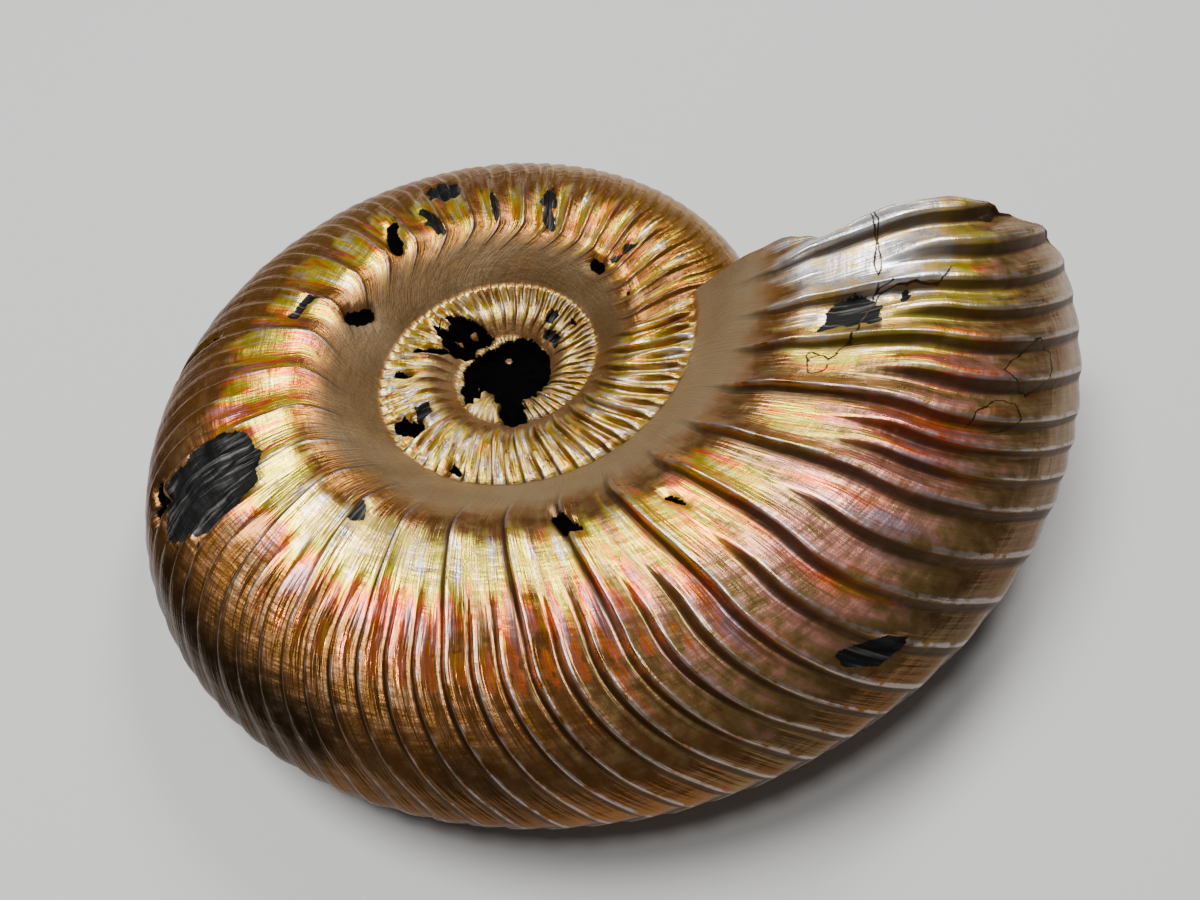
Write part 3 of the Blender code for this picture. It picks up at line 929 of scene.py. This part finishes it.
def reach(skin, zone):
    """How strongly a zone reaches each vertex: 1 in its middle and 0 far off."""
    growth, place, along, across = zone[:4]
    return np.exp(-(((np.degrees(skin.growth) - growth) / along) ** 2) - ((skin.at - place) / across) ** 2)


def nacre_fields(skin, plain, within):
    """How strongly the nacre and its painted highlight show at each vertex, and how thick its film is."""
    above = skin.side > 0
    place, across, strength, hue = BELOW_ZONE
    mean, swing, size = BELOW_CLOUDS
    band = strength * np.exp(-(((skin.at - place) / across) ** 2))
    glow = np.where(above, 0.0, band * (mean + swing * cloud(plain, size, 60)))
    film = glow * hue
    # The bright zones paint highlights and glare onto the nacre, each with its film.
    shares = [(zone[4] * reach(skin, zone) * above, zone[5]) for zone in NACRE_HIGHLIGHT_ZONES]
    strength, hue = INNER_ZONE
    shares.append((strength * within * smooth(*INNER_PLACES, skin.at), hue))
    for share, hue in shares:
        glow, film = glow + share, film + share * hue
    film = film / np.maximum(glow, FAINTEST)
    past = phase(skin.start, PRIMARIES) % 1
    stripe = np.cos(TURN * (past - FOLD_STRIPE_AT)) * smooth(*FOLD_STRIPE_PLACES, skin.at)
    stripe = stripe * folds(skin.growth)
    glow = glow * (1 + FOLD_GLOW * stripe)
    film = film - FOLD_FILM * stripe
    for zone in DULL_ZONES:
        glow = glow * (1 - zone[4] * reach(skin, zone) * above)
    return glow, film


def rib_shades(skin, within):
    """How much painted shade, partly dirt, lies behind a rib's crest at each vertex, and how silver the
    crest is, with a painted highlight.
    """
    secondary = smooth(*SECONDARY_STARTS, skin.at + INNER_SECONDARIES * within)
    primary = smooth(*SHADE_STARTS, skin.at) * (1 - secondary)
    dark, bright = np.zeros(len(within)), np.zeros(len(within))
    counts = phase(skin.start, PRIMARIES), rib_count(skin.start)
    for count, share, spacing in zip(counts, (primary, secondary), (PRIMARY_SHADE, 1)):
        past = count % 1
        before = (1 - past) / spacing
        dark += share * smooth(*SHADE_RISE, before) * (1 - smooth(*SHADE_FALL, before))
        bright += share * (1 - smooth(0, SILVER_WIDTH, np.minimum(before * 2, past / spacing)))
    soft = softness(skin.growth, skin.at)
    low_in_front = smooth(*SILVER_LOW, skin.at) * smooth(*SILVER_FRONT, skin.growth)
    bright *= (1 - SILVER_FADES[0] * low_in_front) * (1 - SILVER_FADES[1] * soft)
    dark *= (1 - SHADE_FADES[0] * folds(skin.growth)) * (1 - SHADE_FADES[1] * soft)
    return dark, bright


def paint_fields(skin, plain):
    """The nacre with its painted highlight and its film, the shell's tone, the painted shade and glints,
    the ribs' painted shade and silver crests, and the dull wall.
    """
    above = skin.side > 0
    within = smooth(*INNER_GROWTHS, skin.growth)
    glow, film = nacre_fields(skin, plain, within)
    dark, bright = rib_shades(skin, within)
    swing, size = TONE_CLOUDS
    tone = MEAN_TONE + swing * cloud(plain, size, 61)
    for zone in SHELL_TONES:
        tone = tone + zone[4] * reach(skin, zone) * above
    # Painted shade, darkening the outer flank in its zones.
    dusk = np.zeros(len(plain))
    for zone in PAINTED_SHADE_ZONES:
        dusk = np.maximum(dusk, zone[4] * reach(skin, zone))
    past = rib_count(skin.start) % 1
    between = smooth(*SPARK_RISE, past) * (1 - smooth(*SPARK_FALL, past))
    wall = 1 - smooth(*WALL_EDGE, skin.at + WALL_WANDER * cloud(plain, WALL_LUMPS, 62))
    return {
        "glow": glow, "film": film, "tone": tone, "dusk": dusk, "dark": dark, "bright": bright,
        "wall": wall * (1 - WALL_INNER_FADE * within), "pale": reach(skin, WALL_PALE) * above,
        "spark": SPARK_STRENGTH * reach(skin, PAINTED_GLINTS) * above * between, "within": within,
    }


def bake_bands():
    """Each band's side, turn and half, with its bottom and its height."""
    bands, bottom = {}, BAKE_GAP
    for side, heights in BAKE_BANDS.items():
        for turn, height in enumerate(heights):
            for half in range(2 if turn == TURNS - 1 else 1):
                bands[side, turn, half] = bottom, height - BAKE_GAP
                bottom += height
    return bands, bottom


def skin_maps(skin):
    """For each corner of the skin's faces its rib count and place, and its spot in the bake. A corner
    whose vertex is from the turn further in lies on its column's seam."""
    bands, _ = bake_bands()
    counts = phase(skin.starts, RIBS)
    half_turn = COLUMNS_A_TURN / 2
    ribs, bake = [], []
    for face, owners, side in zip(skin.faces, skin.owners, skin.face_sides):
        first = min(owners)
        turn = min(first // COLUMNS_A_TURN, TURNS - 1)
        half = int((first - turn * COLUMNS_A_TURN) // half_turn) if turn == TURNS - 1 else 0
        bottom, height = bands[side, turn, half]
        length = half_turn if turn == TURNS - 1 else COLUMNS_A_TURN
        begins = turn * COLUMNS_A_TURN + half * half_turn
        for vertex, column in zip(face, owners):
            own = abs(skin.index[vertex] - column) < half_turn
            place = skin.at[vertex] if own else 0
            whole = 1 if turn == TURNS - 1 else skin.covers[column]
            ribs.append((counts[column], place))
            bake.append((
                BAKE_GAP + (1 - 2 * BAKE_GAP) * (column - begins) / length,
                bottom + height * min(place / whole, 1),
            ))
    return ribs, bake


def closing_maps(faces, points, plate):
    """The same for the faces that close the end and the centre, laid flat on plates side by side."""
    used = sorted({vertex for face in faces for vertex in face})
    spots = points[used]
    spots = spots - spots.mean(0)
    _, _, axes = np.linalg.svd(spots, full_matrices=False)
    flat = spots @ axes[:2].T
    flat = (flat - flat.min(0)) / (flat.max(0) - flat.min(0)).max()
    _, bottom = bake_bands()
    size = min(BAKE_END, 1 - bottom - BAKE_GAP)
    where = {vertex: (BAKE_GAP + plate * (size + BAKE_GAP) + size * x, bottom + size * y)
             for vertex, (x, y) in zip(used, flat)}
    corners = [vertex for face in faces for vertex in face]
    ribs = [(plate * CLOSING_RIBS + points[k][0], points[k][1] * CLOSING_PLACES) for k in corners]
    return ribs, [where[k] for k in corners]


def shell():
    skin = Skin()
    skin.settle()
    plain = skin_points(skin, 0)
    fields, sunk = mark_fields(skin, plain)
    calm = smooth(0, SEAM_CALM_REACH, skin.covers[skin.index] - skin.at)
    calm = np.where(skin.index < skin.first_whole, calm, 1)
    raised = relief(skin.growth, skin.start, skin.at) * (SEAM_CALM + (1 - SEAM_CALM) * calm) - sunk
    points = skin_points(skin, raised)
    break_centre(skin, points, fields)
    fields.update(paint_fields(skin, plain))
    fields["inside"] = np.zeros(len(points))
    faces = list(skin.faces)
    ribs, bake = skin_maps(skin)
    closings = [close_end(skin, points)]
    for side in (1, -1):
        offset = len(points) + sum(len(more) for more, _ in closings)
        closings.append(close_centre(skin, offset, side))
    points = np.concatenate([points] + [more for more, _ in closings])
    for plate, (more, covers) in enumerate(closings):
        faces += covers
        more_ribs, more_bake = closing_maps(covers, points, plate)
        ribs += more_ribs
        bake += more_bake
        for name, values in fields.items():
            value = CLOSING_VALUES[name][plate] if name in CLOSING_VALUES else 0
            fields[name] = np.concatenate([values, np.full(len(more), float(value))])
    mesh = bpy.data.meshes.new("ammonite_shell")
    mesh.from_pydata(lay_down(points) * MM, [], faces)
    for name, values in fields.items():
        mesh.attributes.new(name, "FLOAT", "POINT").data.foreach_set("value", values.astype(np.float32))
    for name, spots in (("OFBake", bake), ("ribs", ribs)):
        mesh.uv_layers.new(name=name).data.foreach_set("uv", np.array(spots, np.float32).ravel())
    mesh.validate()
    mesh.shade_smooth()
    return show("ammonite_shell", mesh)


class Nodes:
    """Short ways to add nodes to a material."""

    def __init__(self, name):
        self.material = bpy.data.materials.new(name)
        self.material.use_nodes = True
        self.tree = self.material.node_tree
        self.shader = self.tree.nodes["Principled BSDF"]

    def node(self, kind, inputs, **settings):
        made = self.tree.nodes.new(kind)
        for name, value in settings.items():
            setattr(made, name, value)
        for name, value in inputs.items():
            self.set(made.inputs[name], value)
        return made

    def set(self, socket, value):
        if isinstance(value, bpy.types.NodeSocket):
            self.tree.links.new(value, socket)
        elif socket.type == "RGBA":
            socket.default_value = (*value, 1)
        else:
            socket.default_value = value

    def field(self, name):
        return self.node("ShaderNodeAttribute", {}, attribute_name=name).outputs["Fac"]

    def calculate(self, operation, *values, clamp=False):
        inputs = dict(enumerate(values))
        return self.node("ShaderNodeMath", inputs, operation=operation, use_clamp=clamp).outputs[0]

    def add(self, *values, clamp=False):
        return self.calculate("ADD", *values, clamp=clamp)

    def times(self, *values, clamp=False):
        return self.calculate("MULTIPLY", *values, clamp=clamp)

    def step(self, low, high, value):
        """0 below a low value and 1 above a high one, smoothly."""
        inputs = {"Value": value, "From Min": low, "From Max": high}
        return self.node("ShaderNodeMapRange", inputs, interpolation_type="SMOOTHSTEP").outputs["Result"]

    def mix(self, share, first, second):
        made = self.node("ShaderNodeMix", {"Factor": share}, data_type="RGBA")
        self.set(made.inputs[6], first)
        self.set(made.inputs[7], second)
        return made.outputs[2]

    def between(self, share, first, second):
        return self.node("ShaderNodeMix", {"Factor": share, "A": first, "B": second}).outputs[0]

    def noise(self, vector, scale, detail, roughness):
        """Noise from about -1 to 1, at a scale along each axis."""
        scaled = self.node("ShaderNodeVectorMath", {0: vector, 1: scale}, operation="MULTIPLY").outputs[0]
        inputs = {"Vector": scaled, "Scale": 1.0, "Detail": detail, "Roughness": roughness}
        value = self.node("ShaderNodeTexNoise", inputs).outputs["Fac"]
        low, high = NOISE_RANGE
        inputs = {"Value": value, "From Min": low, "From Max": high, "To Min": -1.0, "To Max": 1.0}
        return self.node("ShaderNodeMapRange", inputs).outputs["Result"]

    def ramp(self, value, colours):
        made = self.node("ShaderNodeValToRGB", {"Fac": value})
        stops = made.color_ramp.elements
        while len(stops) < len(colours):
            stops.new(0.5)
        for stop, (at, colour) in zip(stops, colours.items()):
            stop.position = at
            stop.color = (*colour, 1)
        return made.outputs["Color"]


class Nacre(Nodes):
    """The shell's material: films of nacre over brown shell, with painted highlights, glints and shade,
    and dark, dull and broken places.
    """

    def __init__(self):
        super().__init__("nacre")
        ribs = self.node("ShaderNodeUVMap", {}, uv_map="ribs").outputs["UV"]
        place = self.node("ShaderNodeTexCoord", {}).outputs["Object"]
        self.textures = {name: self.noise(ribs, *settings) for name, settings in RIB_TEXTURES.items()}
        for name, (scale, detail, roughness) in SOLID_TEXTURES.items():
            self.textures[name] = self.noise(place, (scale / MM,) * 3, detail, roughness)
        self.flecks = self.textures["flecks"]
        self.wall = self.add(self.field("wall"), self.times(self.flecks, WALL_FLECKS), clamp=True)
        self.lost = self.step(*LOST_RANGE, self.varied(self.field("lost"), EDGE_TEXTURE))
        self.hole = self.step(*HOLE_RANGE, self.varied(self.field("hole"), EDGE_TEXTURE))
        # The ribs' painted shade, partly dirt, just behind each crest.
        shade = self.times(self.field("dark"), self.varied(1.0, SHADE_TEXTURE))
        self.shade = self.step(*SHADE_RANGE, shade)
        # The painted red glints in front, between the ribs.
        flecked = self.add(self.step(*SPARK_FLECKS, self.flecks), SPARK_LEAST)
        self.spark = self.step(*SPARK_RANGE, self.times(self.field("spark"), flecked))

    def varied(self, value, changes):
        """A value with textures added to it, each in its own amount."""
        for name, amount in changes.items():
            value = self.add(value, self.times(self.textures[name], amount))
        return value

    def pearl(self):
        """The colour of the nacre with its painted highlight and the plain shell, with the painted red
        glints and the painted shade of the dark zones.
        """
        film = self.field("film")
        inner = self.times(self.field("within"), INNER_VARIETY)
        variety = self.between(self.step(*VARIETY_RANGE, self.add(film, inner)), *VARIETY)
        film = self.add(film, self.times(self.varied(self.textures["streaks"], FILM_STREAKS), variety))
        film = self.ramp(self.varied(film, FILM_TEXTURE), FILM_COLOURS)
        tone = self.ramp(self.varied(self.field("tone"), TONE_TEXTURE), SHELL_COLOURS)
        # Where the nacre shows with its painted highlight.
        glow = self.step(*GLOW_RANGE, self.varied(self.field("glow"), GLOW_TEXTURE))
        # Colour of the painted red glints.
        spark = self.ramp(self.varied(0.5, SPARK_TEXTURE), SPARK_COLOURS)
        # Painted shade darkens the colour to dark brown in its zones.
        dusk = self.times(self.field("dusk"), self.varied(1.0, PAINTED_SHADE_TEXTURE), clamp=True)
        return self.mix(dusk, self.mix(self.spark, self.mix(glow, tone, film), spark), DARK_BROWN)

    def ribbed(self, colour):
        """A colour with the silver crests of the ribs, partly a painted highlight, their painted shade,
        partly dirt, and the dull wall.
        """
        # Silver crests, partly a painted highlight.
        silver = self.step(*SILVER_RANGE, self.times(self.field("bright"), self.add(self.flecks, 1.0)))
        colour = self.mix(self.times(silver, SILVER_COVER), colour, SILVER)
        # Painted shade, partly dirt, darkens each rib behind its crest.
        colour = self.mix(self.times(self.shade, SHADE_COVER), colour, DARK_BROWN)
        pale = self.step(*PALE_RANGE, self.varied(self.field("pale"), PALE_TEXTURE))
        return self.mix(self.times(self.wall, WALL_COVER), colour, self.mix(pale, WALL_DARK, WALL_COLOUR))

    def broken(self, colour):
        """A colour with the bare stone, the holes, the cracks and the wall in the broken end."""
        veins = self.add(self.textures["streaks"], self.textures["fibres"])
        stone = self.mix(self.step(*STONE_RANGE, veins), STONE, STONE_PALE)
        colour = self.mix(self.hole, self.mix(self.lost, colour, stone), BLACK)
        across = self.calculate("ABSOLUTE", self.varied(self.field("crack"), CRACK_TEXTURE))
        near = self.step(*CRACK_FADE, self.field("to_crack"))
        colour = self.mix(self.times(self.step(*CRACK_RANGE, across), near), colour, DARK_BROWN)
        end = self.mix(self.step(*BRONZE_RANGE, self.flecks), DARK_BROWN, BRONZE)
        return self.mix(self.field("inside"), colour, end)

    def finish(self):
        """Joins everything to the shader and returns the material."""
        bare = self.calculate("MAXIMUM", self.lost, self.hole)
        bare = self.calculate("MAXIMUM", bare, self.field("inside"), clamp=True)
        metal = self.between(self.wall, NACRE_METAL, WALL_METAL)
        gloss = self.between(self.wall, self.varied(NACRE_ROUGH, ROUGH_TEXTURE), WALL_ROUGH)
        gloss = self.between(self.spark, self.between(self.shade, gloss, SHADE_ROUGH), SPARK_ROUGH)
        height = self.varied(0.0, HEIGHT_TEXTURE)
        bump = self.node("ShaderNodeBump", {"Height": height, "Strength": 1.0, "Distance": 1.0})
        looks = {
            "Base Color": self.broken(self.ribbed(self.pearl())),
            "Metallic": self.between(self.hole, self.between(bare, metal, BARE_METAL), HOLE_METAL),
            "Roughness": self.between(self.hole, self.between(bare, gloss, BARE_ROUGH), HOLE_ROUGH),
            "Normal": bump.outputs["Normal"],
        }
        for name, value in looks.items():
            self.set(self.shader.inputs[name], value)
        return self.material


def floor():
    mesh = bpy.data.meshes.new("floor")
    corners = [(x * FLOOR_HALF, y * FLOOR_HALF, 0) for x, y in ((-1, -1), (1, -1), (1, 1), (-1, 1))]
    mesh.from_pydata(corners, [], [(0, 1, 2, 3)])
    made = show("floor", mesh)
    material = bpy.data.materials.new("floor")
    material.use_nodes = True
    shader = material.node_tree.nodes["Principled BSDF"]
    shader.inputs["Base Color"].default_value = FLOOR_COLOUR
    shader.inputs["Roughness"].default_value = FLOOR_ROUGHNESS
    mesh.materials.append(material)


def lamp(name, azimuth, elevation, size, power):
    """A soft round lamp that shines on the table's middle."""
    light = bpy.data.lights.new(name, "AREA")
    light.shape = "DISK"
    light.size = size
    light.energy = power
    made = show(name, light)
    azimuth, elevation = math.radians(azimuth), math.radians(elevation)
    level = math.cos(elevation)
    toward = Vector((level * math.cos(azimuth), level * math.sin(azimuth), math.sin(elevation)))
    made.location = toward * LAMP_DISTANCE
    made.rotation_euler = toward.to_track_quat("Z", "Y").to_euler()


def surroundings():
    world = bpy.data.worlds.new("world")
    bpy.context.scene.world = world
    world.use_nodes = True
    background = world.node_tree.nodes["Background"]
    background.inputs["Color"].default_value = (1, 1, 1, 1)
    background.inputs["Strength"].default_value = WORLD_STRENGTH


def camera():
    data = bpy.data.cameras.new("camera")
    data.lens = LENS
    data.sensor_width = SENSOR
    data.clip_start = CLIP_START
    made = show("camera", data)
    right, up = Vector(VIEW_RIGHT), Vector(VIEW_UP)
    turn = Matrix((right, up, right.cross(up))).transposed()
    place = (Vector(COIL_CENTRE) + Vector(VIEWPOINT)) * MM
    made.matrix_world = Matrix.Translation(place) @ turn.to_4x4()
    bpy.context.scene.camera = made


piece = shell()
piece.data.materials.append(Nacre().finish())
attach(piece, "root")
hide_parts("ammonite")
floor()
for lamp_name, settings in LAMPS.items():
    lamp(lamp_name, *settings)
surroundings()
camera()
